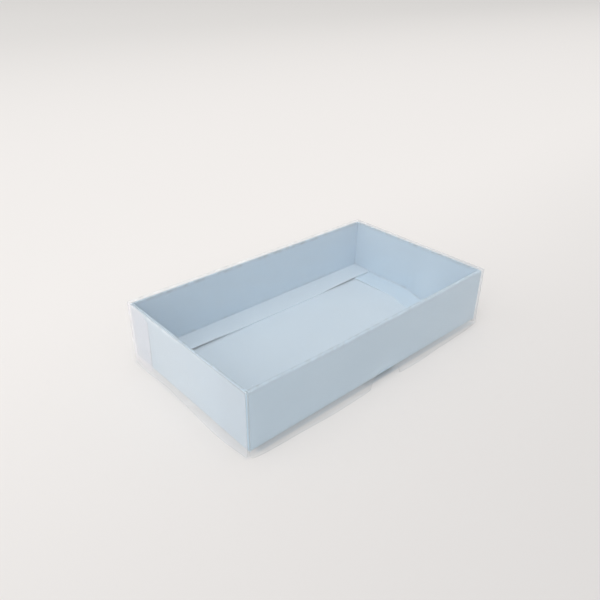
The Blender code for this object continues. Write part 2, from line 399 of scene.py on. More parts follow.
def fold_wear_shade_and_glint_group() -> bpy.types.NodeTree:
    """Where a fold is marked: the fold's own mask, broken up by noise. It paints shade on the card's face,
    whitens the card's reverse as creased card does, and on the film glows as a painted highlight.

    Returns:
        The group.
    """
    bench, takes, result = effect_group(
        "crease", {"Place": SocketKind.PLACE, "Strength": SocketKind.NUMBER}, {"Mask": SocketKind.NUMBER})
    patch_size, patch_range, least_worn = 3.2 * MM, (0.42, 0.68), 0.15
    fold = bench.add("ShaderNodeAttribute", attribute_name="fold").outputs["Fac"]
    patches = bench.noise(takes["Place"], patch_size, detail=4.0, roughness=0.7)
    broken = bench.remap(patches, *patch_range, least_worn, 1.0)
    mask = bench.math("MULTIPLY", bench.math("MULTIPLY", fold, broken), takes["Strength"])
    bench.feed(result, {"Mask": mask})
    return bench.tree


def handling_group() -> bpy.types.NodeTree:
    """Handled film: slow waves from rolling and stacking, and faint scuffs that roughen it.

    Returns:
        The group.
    """
    bench, takes, result = effect_group(
        "film handling",
        {"Place": SocketKind.PLACE, "Least rough": SocketKind.NUMBER, "Most rough": SocketKind.NUMBER},
        {"Roughness": SocketKind.NUMBER, "Relief": SocketKind.NUMBER},
    )
    wave_size, scuff_size, scuff_range = 34 * MM, 7 * MM, (0.5, 0.8)
    waves = bench.noise(takes["Place"], wave_size, detail=1.0, roughness=0.4)
    marks = bench.noise(takes["Place"], scuff_size, detail=5.0, roughness=0.75)
    scuffs = bench.remap(marks, *scuff_range, 0.0, 1.0)
    spread = bench.math("SUBTRACT", takes["Most rough"], takes["Least rough"])
    rough = bench.math("ADD", takes["Least rough"], bench.math("MULTIPLY", spread, scuffs))
    bench.feed(result, {"Roughness": rough, "Relief": waves})
    return bench.tree


CARD_STOCK = card_stock_group()
FOLD_WEAR_SHADE_AND_GLINT = fold_wear_shade_and_glint_group()
HANDLING = handling_group()


def start_material(name: str) -> tuple[bpy.types.Material, NodeBench, bpy.types.Node, bpy.types.NodeSocket]:
    """Make a material with its Principled shader.

    Args:
        name: the material's name.

    Returns:
        The material, its bench, its shader and its Object coordinates.
    """
    material = bpy.data.materials.new(name)
    material.use_nodes = True
    material.node_tree.nodes.clear()
    bench = NodeBench(material.node_tree)
    shader = bench.add("ShaderNodeBsdfPrincipled")
    bench.add("ShaderNodeOutputMaterial", {"Surface": shader.outputs[0]})
    return material, bench, shader, bench.add("ShaderNodeTexCoord").outputs["Object"]


@dataclass(frozen=True)
class CardFinish:
    """Matt coated card. A long flange's tip can be painted dark where it stands off the floor, as shade of
    the gap under it, and take another, pale tint where it lies on the floor.
    """

    name: str
    tint: Colour
    pale_tint: Colour
    cloudiness: float
    roughness: float
    # The tint at the folds and its strength: painted shade where it is darker than the card, wear where paler
    fold_wear_and_shade_tint: Colour
    fold_wear_and_shade_strength: float
    # The pale tint where the tip lies on the floor: partly the card's paler core, partly painted light that
    # blends the edge into the floor
    middle_tint: Colour | None = None
    relief: float = 0.02 * MM
    relief_strength: float = 0.5
    specular: float = 0.35
    sheen: float = 0.05
    # The range of the fibre relief that changes the roughness, and how much it takes off at its low end and
    # puts on at its high end
    fibre_range: tuple[float, float] = (0.3, 0.7)
    roughness_spread: tuple[float, float] = (0.04, 0.05)
    # Where along the box the gap under a long flange's tip, painted as shade on its cut edge, closes at the
    # left, opens at the right, and ends over the right end's own flange
    left_gap: tuple[float, float] = (-50 * MM, -28 * MM)
    right_gap: tuple[float, float] = (30 * MM, 50 * MM)
    end_flange: tuple[float, float] = (61.5 * MM, 65 * MM)

    def make(self) -> bpy.types.Material:
        """Build the material.

        Returns:
            The finished material.
        """
        material, bench, shader, place = start_material(self.name)
        stock = bench.effect(CARD_STOCK, {
            "Place": place, "Tint": (*self.tint, 1), "Pale tint": (*self.pale_tint, 1),
            "Cloudiness": self.cloudiness,
        })
        crease = bench.effect(FOLD_WEAR_SHADE_AND_GLINT, {"Place": place, "Strength": self.fold_wear_and_shade_strength})
        colour = bench.blend(crease["Mask"], stock["Colour"], self.fold_wear_and_shade_tint)
        if self.middle_tint:
            colour = bench.blend(self.gaping(bench, place), self.middle_tint, colour)
        less, more = self.roughness_spread
        smoother, rougher = self.roughness - less, self.roughness + more
        bench.feed(shader, {
            "Base Color": colour,
            "Roughness": bench.remap(stock["Relief"], *self.fibre_range, smoother, rougher),
            "Normal": bench.bump(stock["Relief"], self.relief, self.relief_strength),
            "Specular IOR Level": self.specular,
            "Sheen Weight": self.sheen,
        })
        return material

    def gaping(self, bench: NodeBench, place: bpy.types.NodeSocket) -> bpy.types.NodeSocket:
        """Where a long flange's cut edge takes painted shade, as its tip stands off the floor: near its ends,
        but not over the right end's flange.

        Args:
            bench: the material's bench.
            place: its Object coordinates.

        Returns:
            The mask, from 0 to 1.
        """
        along = bench.add("ShaderNodeSeparateXYZ", {0: place}).outputs["X"]
        at_left = bench.opposite(bench.ease(along, *self.left_gap))
        on_end_flange = bench.ease(along, *self.end_flange)
        at_right = bench.math("SUBTRACT", bench.ease(along, *self.right_gap), on_end_flange)
        return bench.largest(at_left, at_right)


@dataclass(frozen=True)
class FilmFinish:
    """Clear film. Lamps and bounced light pass straight through it, less what it holds back.

    Its folds can glint towards the back, as a faint glow. Its index is below acetate's 1.48, because at that
    value a closed sheet guides light to its folds, as lines that the real film doesn't show.
    """

    name: str
    tint: Colour
    clearness: float
    least_rough: float
    most_rough: float
    held_back: float
    front_tint: Colour | None = None
    glint: float = 0.0
    index: float = 1.36
    wave: float = 0.25 * MM
    wave_strength: float = 0.4
    glint_tint: Colour = (0.98, 1.0, 1.0)
    # Where across the box the front tint fades out, and where the glints come up
    front_fade: tuple[float, float] = (-50 * MM, 5 * MM)
    glint_rise: tuple[float, float] = (-30 * MM, 15 * MM)

    def make(self) -> bpy.types.Material:
        """Build the material.

        Returns:
            The finished material.
        """
        material, bench, shader, place = start_material(self.name)
        handling = bench.effect(HANDLING, {
            "Place": place, "Least rough": self.least_rough, "Most rough": self.most_rough,
        })
        ray = bench.add("ShaderNodeLightPath").outputs
        lighting = bench.largest(ray["Is Shadow Ray"], ray["Is Diffuse Ray"])
        depth = bench.add("ShaderNodeSeparateXYZ", {0: place}).outputs["Y"]
        bench.feed(shader, {
            "Base Color": (*self.tint, 1),
            "Roughness": handling["Roughness"],
            "Normal": bench.bump(handling["Relief"], self.wave, self.wave_strength),
            "Alpha": bench.remap(lighting, 0, 1, 1, self.held_back),
            "Transmission Weight": self.clearness,
            "IOR": self.index,
        })
        if self.front_tint:
            tint = bench.blend(bench.ease(depth, *self.front_fade), self.front_tint, self.tint)
            bench.feed(shader, {"Base Color": tint})
        if self.glint:
            strength = bench.remap(depth, *self.glint_rise, 0.0, 1.0)
            crease = bench.effect(FOLD_WEAR_SHADE_AND_GLINT, {"Place": place, "Strength": strength})
            catch = bench.blend(crease["Mask"], (0.0, 0.0, 0.0), self.glint_tint)
            bench.feed(shader, {"Emission Color": catch, "Emission Strength": self.glint})
        return material


@dataclass
class Finishes:
    """Every finish of the box, made once."""

    # The face's folds are darker: painted shade, strongest along the rims' inner edges and in the corner
    # seams. The reverse's folds whiten, as creased card does.
    card: bpy.types.Material = field(default_factory=CardFinish(
        "blue_card_face", tint=(0.510, 0.645, 0.757), pale_tint=(0.535, 0.668, 0.777), cloudiness=0.6,
        roughness=0.66, fold_wear_and_shade_tint=(0.39, 0.455, 0.505), fold_wear_and_shade_strength=0.8).make)
    card_reverse: bpy.types.Material = field(default_factory=CardFinish(
        "blue_card_reverse", tint=(0.560, 0.668, 0.755), pale_tint=(0.582, 0.688, 0.772), cloudiness=0.6,
        roughness=0.7, fold_wear_and_shade_tint=(0.68, 0.76, 0.83), fold_wear_and_shade_strength=0.3).make)
    # The cut edge is paler than the face: partly the card's paler core, partly painted light that lifts edges
    # turned away from the lamps to the floor's brightness.
    card_cut: bpy.types.Material = field(default_factory=CardFinish(
        "blue_card_cut_edge", tint=(0.70, 0.82, 0.91), pale_tint=(0.78, 0.87, 0.94), cloudiness=1.0,
        roughness=0.85, fold_wear_and_shade_tint=(0.7, 0.8, 0.88), fold_wear_and_shade_strength=0.2).make)
    # Painted shade: a dark cut edge where a long flange's tip stands off the floor, pale where it lies on it
    card_cut_painted_shade: bpy.types.Material = field(default_factory=CardFinish(
        "blue_card_cut_edge_painted_shade", tint=(0.17, 0.20, 0.22), pale_tint=(0.22, 0.25, 0.27), cloudiness=1.0,
        roughness=0.85, fold_wear_and_shade_tint=(0.18, 0.20, 0.22), fold_wear_and_shade_strength=0.2,
        middle_tint=(0.75, 0.88, 0.97)).make)
    film: bpy.types.Material = field(default_factory=FilmFinish(
        "clear_film_face", tint=(0.985, 0.99, 0.995), clearness=0.97, least_rough=0.02, most_rough=0.10,
        held_back=0.22, glint=0.09).make)
    film_cut: bpy.types.Material = field(default_factory=FilmFinish(
        "clear_film_cut_edge", tint=(0.96, 0.97, 0.98), clearness=0.9, least_rough=0.1, most_rough=0.15,
        held_back=0.2).make)
    film_hazy: bpy.types.Material = field(default_factory=FilmFinish(
        "clear_film_hazy", tint=(0.965, 0.975, 0.985), clearness=0.85, least_rough=0.05, most_rough=0.14,
        held_back=0.22, front_tint=(0.925, 0.94, 0.96), glint=0.11).make)
    film_wetted: bpy.types.Material = field(default_factory=FilmFinish(
        "clear_film_wetted", tint=(0.995, 0.997, 1.0), clearness=0.995, least_rough=0.02, most_rough=0.06,
        held_back=0.02, index=1.04).make)
    film_glued: bpy.types.Material = field(default_factory=FilmFinish(
        "clear_film_glued", tint=(1.0, 0.965, 1.0), clearness=0.86, least_rough=0.05, most_rough=0.14,
        held_back=0.12).make)


# Sizes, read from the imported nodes


def low_and_high(node: str) -> tuple[Array, Array]:
    """A named node's lowest and highest corner, as arrays."""
    low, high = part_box(node)
    return np.array(low, float), np.array(high, float)


@dataclass(frozen=True)
class TraySizes:
    """The card tray's planes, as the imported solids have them."""

    half_length: float
    half_width: float
    bottom: float
    top: float
    card: float
    end_foot: float
    end_inner_half: float
    end_rim_half: float
    end_flange_middle: float
    end_flange_tip: float
    long_crease: float
    long_flange_middle: float
    long_flange_tip: float
    tab_tip: float
    tab_top: float

    @classmethod
    def read(cls) -> "TraySizes":
        """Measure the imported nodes.

        Returns:
            The sizes.
        """
        floor, rim = low_and_high("floor_panel"), low_and_high("back_rim")
        end_wall, long_wall = low_and_high("right_outer_wall"), low_and_high("back_outer_wall")
        end_flange, long_flange = low_and_high("right_floor_flange"), low_and_high("back_floor_flange")
        end_inner, end_rim = low_and_high("right_inner_wall"), low_and_high("right_rim")
        tab = low_and_high("back_right_corner_tab")
        return cls(
            half_length=end_wall[1][0], half_width=long_wall[1][1], bottom=floor[0][2], top=rim[1][2],
            card=floor[1][2] - floor[0][2], end_foot=end_inner[0][0], end_inner_half=end_inner[1][1],
            end_rim_half=end_rim[1][1], end_flange_middle=(end_flange[0][2] + end_flange[1][2]) / 2,
            end_flange_tip=end_flange[0][0], long_crease=long_flange[1][1],
            long_flange_middle=(long_flange[0][2] + long_flange[1][2]) / 2, long_flange_tip=long_flange[0][1],
            tab_tip=tab[0][0], tab_top=tab[1][2],
        )


@dataclass(frozen=True)
class LidSizes:
    """The film lid's planes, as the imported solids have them."""

    half_length: float
    half_width: float
    top: float
    film: float
    end_wall_half: float
    tab_width: float
    tab_foot: float

    @classmethod
    def read(cls) -> "LidSizes":
        """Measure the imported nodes.

        Returns:
            The sizes.
        """
        panel, end_wall = low_and_high("lid_top_panel"), low_and_high("lid_right_wall")
        tab = low_and_high("lid_back_right_glue_tab")
        return cls(
            half_length=panel[1][0], half_width=panel[1][1], top=panel[1][2], film=panel[1][2] - panel[0][2],
            end_wall_half=end_wall[1][1], tab_width=tab[1][1] - tab[0][1], tab_foot=tab[0][2],
        )


# The card tray


@dataclass
class CardTray:
    """One folded card blank: a floor, double walls with narrow rims, floor flanges and corner tabs."""

    sizes: TraySizes
    finishes: Finishes
    long_rim: float = 1.5 * MM
    end_rim: float = 0.9 * MM
    long_rim_folds: tuple[float, float] = (0.75 * MM, 0.3 * MM)
    end_rim_folds: tuple[float, float] = (0.24 * MM, 0.24 * MM)
    front_bulge: float = 0.65 * MM
    floor_fold: float = 0.6 * MM
    foot_fold: float = 0.35 * MM
    hairline: float = 0.02 * MM
    foot_strip: float = 0.85 * MM
    seam_gap: float = 0.38 * MM
    wall_wave: float = 0.12 * MM
    long_belly: float = 0.25 * MM
    end_belly: float = 0.2 * MM
    wall_wave_phase: float = 0.4
    long_belly_phase: float = 1.3
    end_belly_phase: float = 2.0
    left_foot_spring: float = 0.3 * MM
    tab_chamfer: float = 4 * MM
    bulge_power: float = 1.5
    spring_power: float = 1.5
    droop_power: float = 1.2
    flange_end_gap: float = 0.1 * MM
    flange_crease_step: float = 0.15 * MM
    # How strongly the folds mark the card: at the floor, the rim's outer and inner edge, and the foot. On the
    # face the marks are painted shade, strongest at the rim's inner edge.
    fold_weights: tuple[float, ...] = (1.0, 0.7, 1.5, 1.0)
    columns: int = 121
    flange_rows: int = 20
    tab_columns: int = 16
    tab_rows: int = 25
    # How the front wall's top stands out along the box, as places from -1 to 1 and shares of the bulge
    bulge_knots: Knots = (
        (-1, 0.0), (-0.8, 0.15), (-0.55, 1.0), (-0.2, 0.9), (0.1, 0.7), (0.5, 0.6), (0.8, 0.1), (1, 0.0))
    # How far the right end's foot springs inwards, as places across the box and distances, in millimetres
    right_foot_knots: Knots = (
        (-43, 0.0), (-31, 0.0), (-25, 1.8), (-19, 3.7), (-15, 4.2), (-12, 3.9), (-9, 3.0), (-6, 2.0),
        (-2, 0.4), (0, 0.0), (6, 0.0), (24, 0.2), (43, 0.0))
    # How far an end flange's tip and a long flange's tip stand above the solids' planes, as places from -1 to
    # 1 along the tip and millimetres
    end_tip_knots: Knots = ((-1, -0.28), (0.2, -0.28), (0.5, -0.05), (1, 0.25))
    long_tip_knots: Knots = (
        (-1.0, 0.0), (-0.8, -0.1), (-0.65, -0.2), (-0.5, -0.45), (-0.38, -0.72), (-0.25, -0.95),
        (-0.1, -0.98), (0.2, -0.98), (0.47, -0.96), (0.56, -0.6), (0.7, -0.2), (0.84, 0.0), (1.0, 0.0))

    def lay(self, name: str, body: str, nodes: tuple[str, ...], middle: Array, folds: Array,
            face_up: bool) -> None:
        """Build one sheet of card and put it on its body.

        Args:
            name: the piece's name.
            body: the body that it moves with.
            nodes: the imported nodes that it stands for.
            middle: grid of middle points.
            folds: how strongly the folds mark each, or each row.
            face_up: whether the grid's normal leaves from the card's face.
        """
        finishes = self.finishes
        # The right end's front border and the back flange's tip take the cut finish that is painted dark as
        # shade where a long flange's tip stands off the floor
        border = {"card_right_end": Border.FIRST_COLUMN, "card_back_flange": Border.LAST_ROW}.get(name)
        painted_shade = (border, finishes.card_cut_painted_shade) if border else None
        sheet = Sheet(name, middle, self.sizes.card, folds, face_up)
        piece = sheet.build(finishes.card, finishes.card_reverse, finishes.card_cut, painted_shade)
        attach(piece, body)
        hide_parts(*nodes)
        LOG.info("%s: %d faces on %s", name, len(piece.data.polygons), body)

    def side_path(self, reach: float, rim: float, rim_folds: tuple[float, float], start: float, foot: float,
                  strip: float) -> FoldedPath:
        """A side's profile, from the floor out, up, over the rim and down to the inner wall's foot.

        Args:
            reach: distance from the box's middle to the wall's outer face.
            rim: the rim's width.
            rim_folds: radii of the rim's outer and inner fold, at the card's middle.
            start: where on the floor the profile begins.
            foot: height of the middle of the flange's card.
            strip: how far the profile runs on past the foot's fold.

        Returns:
            The path, as distance outwards and height.
        """
        half = self.sizes.card / 2
        outer, inner = reach - half, reach - rim + half
        low, high = self.sizes.bottom + half, self.sizes.top - half
        corners = ((start, low), (outer, low), (outer, high),
                   (inner, high), (inner, foot), (inner - strip, foot))
        return FoldedPath(corners, (self.floor_fold, *rim_folds, self.foot_fold), weights=self.fold_weights)

    def long_walls_and_floor(self) -> None:
        """The floor and both long double walls, as one strip carried along the box.

        The half length of each row follows its leg: the outer walls and rims run to the seams, and the inner
        walls run to the end walls, which lean in to their feet. The inner walls lean in too, by a share of
        their depth. Both walls wave a little between their folds, and the front one's top stands out.
        """
        s = self.sizes
        path, legs, marks = self.side_path(s.half_width, self.long_rim, self.long_rim_folds, 0.0,
                                           s.long_flange_middle, self.foot_strip).trace()
        lean = s.half_width - self.long_rim - self.foot_strip + s.card / 2 + self.hairline - s.long_crease
        seam = s.half_length - s.card - self.seam_gap
        end_face = s.half_length - self.end_rim - self.hairline
        out, height = path[:, :1], path[:, 1:2]
        inner = (legs >= Leg.INNER_WALL.value)[:, None]
        depth = np.clip((s.top - height) / (s.top - s.end_flange_middle), 0, 1)
        halves = np.array([s.half_length - s.card - self.floor_fold - self.hairline, seam, seam, 0.0, 0.0])
        inner_half = end_face + (s.end_foot - self.hairline - end_face) * depth
        x = np.where(inner, inner_half, halves[legs][:, None]) * np.linspace(-1, 1, self.columns)
        high = s.top - s.card / 2
        share = np.clip((high - height) / (high - s.long_flange_middle), 0, 1) * inner
        standing = (legs != Leg.FLOOR.value)[:, None]
        rise = np.clip((height - s.bottom) / (s.top - s.bottom), 0, 1)
        sides = []
        for side in (-1, 1):
            hollow = ripple(x, height, self.long_belly_phase + side)
            belly = self.long_belly * np.sin(math.pi * share) * hollow
            uneven = ripple(x, height, self.wall_wave_phase + side)
            wave = self.wall_wave * uneven * standing * np.sin(math.pi * rise)
            y = out - lean * share - belly + wave
            if side < 0:
                bulge = smooth_curve(self.bulge_knots, x / s.half_length) * rise**self.bulge_power
                y = y + self.front_bulge * bulge * standing
            sides.append(np.stack([x, side * y, np.broadcast_to(height, x.shape)], -1))
        middle = np.concatenate([sides[0][::-1], sides[1][1:]])
        folds = np.concatenate([marks[::-1], marks[1:]])[:, None]
        nodes = ("floor_panel", "front_outer_wall", "front_rim", "front_inner_wall",
                 "back_outer_wall", "back_rim", "back_inner_wall")
        self.lay("card_floor_and_long_walls", "tray", nodes, middle, folds, face_up=True)

    def end_side(self, name: str, side: int) -> None:
        """An end's double wall and its wide floor flange, as one strip carried across the box.

        Each row's half width is its leg's. The inner wall leans in by a share of its depth, its foot springs
        further in, and the flange's tip rises or sinks by a share of how far the flange has run.

        Args:
            name: left or right.
            side: -1 or 1 along X.
        """
        s = self.sizes
        start = s.half_length - s.card - self.floor_fold
        strip = s.half_length - self.end_rim + s.card / 2 - s.end_flange_tip
        path, legs, marks = self.side_path(s.half_length, self.end_rim, self.end_rim_folds, start,
                                           s.end_flange_middle, strip).trace()
        out, height = path[:, :1], path[:, 1:2]
        halves = np.array([s.half_width - s.card - self.floor_fold, s.half_width - self.hairline,
                           s.end_rim_half, s.end_inner_half, s.end_inner_half])
        y = halves[legs][:, None] * np.linspace(-1, 1, self.columns)
        depth = np.clip((s.top - height) / (s.top - s.end_flange_middle), 0, 1)
        inner = (legs >= Leg.INNER_WALL.value)[:, None] * depth
        run = np.clip((s.end_foot - out) / (s.end_foot - s.end_flange_tip), 0, 1)
        run = run * (legs == Leg.FLANGE.value)[:, None]
        lean = (s.half_length - self.end_rim - s.end_foot) * inner * (1 - run)
        spring = self.foot_spring(side, y) * inner**self.spring_power
        belly = self.end_belly * np.sin(math.pi * inner) * ripple(y, height, self.end_belly_phase + side)
        lift = smooth_curve(self.end_tip_knots, y / s.end_inner_half) * MM * run
        grid = np.stack([side * (out - lean - spring - belly), y, height + lift], -1)
        nodes = tuple(f"{name}_{part}" for part in ("outer_wall", "rim", "inner_wall", "floor_flange"))
        self.lay(f"card_{name}_end", "tray", nodes, grid, marks[:, None], face_up=side < 0)

    def foot_spring(self, side: int, y: Array) -> Array:
        """How far an end wall's foot springs inwards: a little at the left, a swell at the right's front.

        Args:
            side: -1 or 1 along X.
            y: place across the box.

        Returns:
            The distance inwards, beyond the wall's even lean.
        """
        if side < 0:
            return self.left_foot_spring * np.cos(math.pi * y / (2 * self.sizes.end_inner_half))
        return smooth_curve(self.right_foot_knots, y / MM) * MM

    def corner_tab(self, name: str, side_x: int, side_y: int) -> None:
        """An end wall's tab: from the upright corner, along behind the long wall to a chamfered tip.

        Its card lies against the inside of the long outer wall. It is as high as the wall at its shoulder,
        and both its edges close in by the chamfer at its tip.

        Args:
            name: the corner, such as front_left.
            side_x: -1 or 1 along X.
            side_y: -1 or 1 along Y.
        """
        s = self.sizes
        x = np.linspace(s.half_length - s.card - self.hairline, s.tab_tip, self.tab_columns)[:, None]
        y = s.half_width - 1.5 * s.card - self.hairline
        chamfer = np.clip(self.tab_chamfer - (x - s.tab_tip), 0, self.tab_chamfer)
        at_corner = shoulder(x[0] - x)
        low = s.bottom + s.card / 2 + self.floor_fold + chamfer
        full = s.top - s.card / 2 - self.end_rim_folds[0]
        high = s.tab_top + (full - s.tab_top) * at_corner - chamfer
        z = low + (high - low) * np.linspace(0, 1, self.tab_rows)
        grid = np.stack(np.broadcast_arrays(side_x * x, side_y * y, z), -1)
        # The shoulder by the corner takes fold marks: painted shade in the seam's gap on the card's face,
        # whitening on its reverse
        self.lay(f"card_{name}_tab", "tray", (f"{name}_corner_tab",), grid, at_corner,
                 face_up=side_x * side_y > 0)

    def long_flange(self, name: str, side: int) -> None:
        """A long floor flange, which droops to the floor in mid-span and rides up on the end flanges.

        The droop is the tip's curve times a power of the share of the flange's width from the crease.

        Args:
            name: front or back.
            side: -1 or 1 along Y.
        """
        s = self.sizes
        width, half = s.long_crease - s.long_flange_tip, s.end_foot - self.flange_end_gap
        across = np.concatenate([[0], np.linspace(self.flange_crease_step, width, self.flange_rows)])[:, None]
        x = np.linspace(-half, half, self.columns)
        droop = smooth_curve(self.long_tip_knots, x / half) * MM
        z = s.long_flange_middle + droop * (across / width) ** self.droop_power
        grid = np.stack(np.broadcast_arrays(x, side * (s.long_crease - across), z), -1)
        self.lay(f"card_{name}_flange", f"{name}_flange", (f"{name}_floor_flange",), grid, fold_mark(across),
                 face_up=side < 0)

    def build(self) -> None:
        """Make every panel of the tray."""
        self.long_walls_and_floor()
        for name, side in (("left", -1), ("right", 1)):
            self.end_side(name, side)
        for name, side_x, side_y in CORNERS:
            self.corner_tab(name, side_x, side_y)
        for name, side in (("front", -1), ("back", 1)):
            self.long_flange(name, side)


# The film lid


@dataclass
class FilmLid:
    """One folded film blank: a flat top, four walls with free lower edges, and glued corner tabs."""

    sizes: LidSizes
    finishes: Finishes
    gauge: float = 0.14 * MM
    fold: float = 0.2 * MM
    hairline: float = 0.02 * MM
    notch_middle: float = 1.5 * MM
    notch_half_width: float = 10.5 * MM
    notch_height: float = 7.2 * MM
    corner_round: float = 2.2 * MM
    foot_gap: float = 0.03 * MM
    bow_power: float = 1.7
    top_sag: float = 0.45 * MM
    top_ripple: float = 0.25 * MM
    top_ripple_phase: float = 0.7
    tab_gap: float = 0.05 * MM
    tab_edge_gap: float = 0.3 * MM
    tab_slant: float = 3 * MM
    tab_slant_run: float = 6 * MM
    row_spacing: float = 1.6 * MM
    tab_spacing: float = 1.0 * MM
    long_columns: int = 121
    end_columns: int = 81
    notch_columns: int = 57
    corner_columns: int = 9
    tab_rows: int = 25
    # How far the free edges stand out along each side, as places from -1 to 1 and millimetres
    front_bow: Knots = (
        (-1, 0.0), (-0.94, 0.8), (-0.81, 1.5), (-0.66, 1.8), (-0.46, 2.55), (-0.25, 2.45), (-0.1, 2.0),
        (0.04, 1.5), (0.18, 2.0), (0.33, 2.4), (0.51, 1.7), (0.71, 1.3), (0.87, 0.8), (1, 0.0))
    back_bow: Knots = (
        (-1, 0.0), (-0.85, 0.9), (-0.5, 2.1), (-0.2, 1.8), (0.1, 1.5), (0.45, 2.3), (0.8, 1.1), (1, 0.0))
    left_bow: Knots = (
        (-1, 0.0), (-0.91, 0.25), (-0.8, 0.8), (-0.64, 1.4), (-0.44, 1.4), (-0.26, 1.0), (-0.09, 0.55),
        (0.18, 0.05), (0.44, -0.1), (0.62, 0.55), (0.78, 0.95), (0.91, 0.6), (1, 0.2))
    right_bow: Knots = ((-1, 0.1), (-0.7, 1.0), (-0.2, 1.5), (0.3, 1.2), (0.75, 0.7), (1, 0.1))

    def lay(self, name: str, nodes: tuple[str, ...], middle: Array, folds: Array, face: bpy.types.Material,
            cut: bpy.types.Material) -> None:
        """Build one sheet of film and put it on the lid.

        Args:
            name: the piece's name.
            nodes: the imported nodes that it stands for.
            middle: grid of middle points.
            folds: how strongly the fold marks each row.
            face: finish of both its sides.
            cut: finish of its cut edges.
        """
        piece = Sheet(name, middle, self.gauge, folds).build(face, face, cut)
        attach(piece, "lid")
        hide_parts(*nodes)
        LOG.info("%s: %d faces on the lid", name, len(piece.data.polygons))

    def bow(self, knots: Knots, share: Array, z: Array) -> Array:
        """How far a wall stands out: its free edge's curve, by a power of the share of the drop to it."""
        down = np.clip((self.sizes.top - z) / self.sizes.top, 0, 1)
        return smooth_curve(knots, share) * MM * down**self.bow_power

    def rounded_corner(self, from_end: Array) -> Array:
        """Height of a free edge by its distance from the wall's end, where a quarter circle is cut away."""
        inward = np.clip(1 - from_end / self.corner_round, 0, 1)
        return self.foot_gap + self.corner_round * (1 - np.sqrt(1 - inward**2))

    def notch(self, x: Array) -> Array:
        """Height of the half-moon thumb notch above the free edge: half an ellipse."""
        share = np.clip(np.abs(x - self.notch_middle) / self.notch_half_width, 0, 1)
        return self.notch_height * np.sqrt(1 - share**2)

    def stations(self, half: float, columns: int, extra: Array) -> Array:
        """Where a wall's columns stand: evenly, and closer towards its cut corners, by squares.

        Args:
            half: the wall's half length.
            columns: how many stand evenly.
            extra: more places to add.

        Returns:
            The places in order, to the micron.
        """
        corner = half - self.corner_round * np.linspace(0, 1, self.corner_columns) ** 2
        places = np.concatenate([np.linspace(-half, half, columns), extra, corner, -corner])
        return np.unique(np.round(places, 6))

    def top_and_long_walls(self) -> None:
        """The top panel and both long walls, as one strip carried along the box.

        The wall rows run from the cut edge, which the notch and the rounded corners lift, up to the fold. The
        top sags between its folds, by a parabola along the box and a ramp from each long fold.
        """
        s = self.sizes
        half = self.gauge / 2
        outer, high = s.half_width - half, s.top - half
        wall_half = s.half_length - s.film - 2 * self.fold
        path, legs, marks = FoldedPath(
            ((0.0, high), (outer, high), (outer, 0.0)), (self.fold,), spacing=self.row_spacing).trace()
        across, height = path[:, :1], path[:, 1:2]
        on_top = (legs == 0)[:, None]
        top_half = s.half_length - half - self.fold - self.hairline
        turn = np.linspace(0, math.pi, self.notch_columns)
        by_notch = self.notch_middle + self.notch_half_width * np.cos(turn)
        along = self.stations(wall_half, self.long_columns, by_notch) / wall_half
        x = np.where(on_top, top_half, wall_half) * along
        fold_end = high - self.fold
        down = np.clip((fold_end - height) / fold_end, 0, 1)
        edge = np.maximum(self.notch(x), self.rounded_corner(wall_half - np.abs(x)))
        z = np.where(down > 0, fold_end - down * (fold_end - edge), height)
        inset = np.clip(1 - across / (outer - self.fold), 0, 1)
        flat = np.clip(1 - (x / top_half) ** 2, 0, 1) * np.clip(3 * inset, 0, 1) * on_top
        sides = []
        for side, knots in ((-1, self.front_bow), (1, self.back_bow)):
            out = across + self.bow(knots, x / s.half_length, z) * (down > 0)
            uneven = ripple(x, side * across, self.top_ripple_phase)
            sag = (self.top_sag + self.top_ripple * uneven) * flat
            sides.append(np.stack([x, side * out, z - np.maximum(sag, 0)], -1))
        middle = np.concatenate([sides[0][::-1], sides[1][1:]])
        folds = np.concatenate([marks[::-1], marks[1:]])[:, None]
        nodes = ("lid_top_panel", "lid_front_wall", "lid_back_wall")
        self.lay("film_top_and_long_walls", nodes, middle, folds, self.finishes.film, self.finishes.film_cut)

    def end_wall(self, name: str, side: int, knots: Knots) -> None:
        """An end wall, from the top panel's fold down to its rounded free corners.

        Args:
            name: left or right.
            side: -1 or 1 along X.
            knots: its free edge's curve.
        """
        s = self.sizes
        outer, high = s.half_length - self.gauge / 2, s.top - self.gauge / 2
        path, _, marks = FoldedPath(
            ((outer - self.fold, high), (outer, high), (outer, 0.0)), (self.fold - self.hairline,),
            spacing=self.row_spacing).trace()
        across, height = path[:, :1], path[:, 1:2]
        y = self.stations(s.end_wall_half, self.end_columns, np.empty(0))
        fold_end = high - self.fold
        down = np.clip((fold_end - height) / fold_end, 0, 1)
        edge = self.rounded_corner(s.end_wall_half - np.abs(y))
        z = np.where(down > 0, fold_end - down * (fold_end - edge), height)
        out = across + self.bow(knots, y / s.end_wall_half, z)
        grid = np.stack(np.broadcast_arrays(side * out, y, z), -1)
        self.lay(f"film_{name}_wall", (f"lid_{name}_wall",), grid, marks[:, None],
                 self.finishes.film_hazy, self.finishes.film_cut)

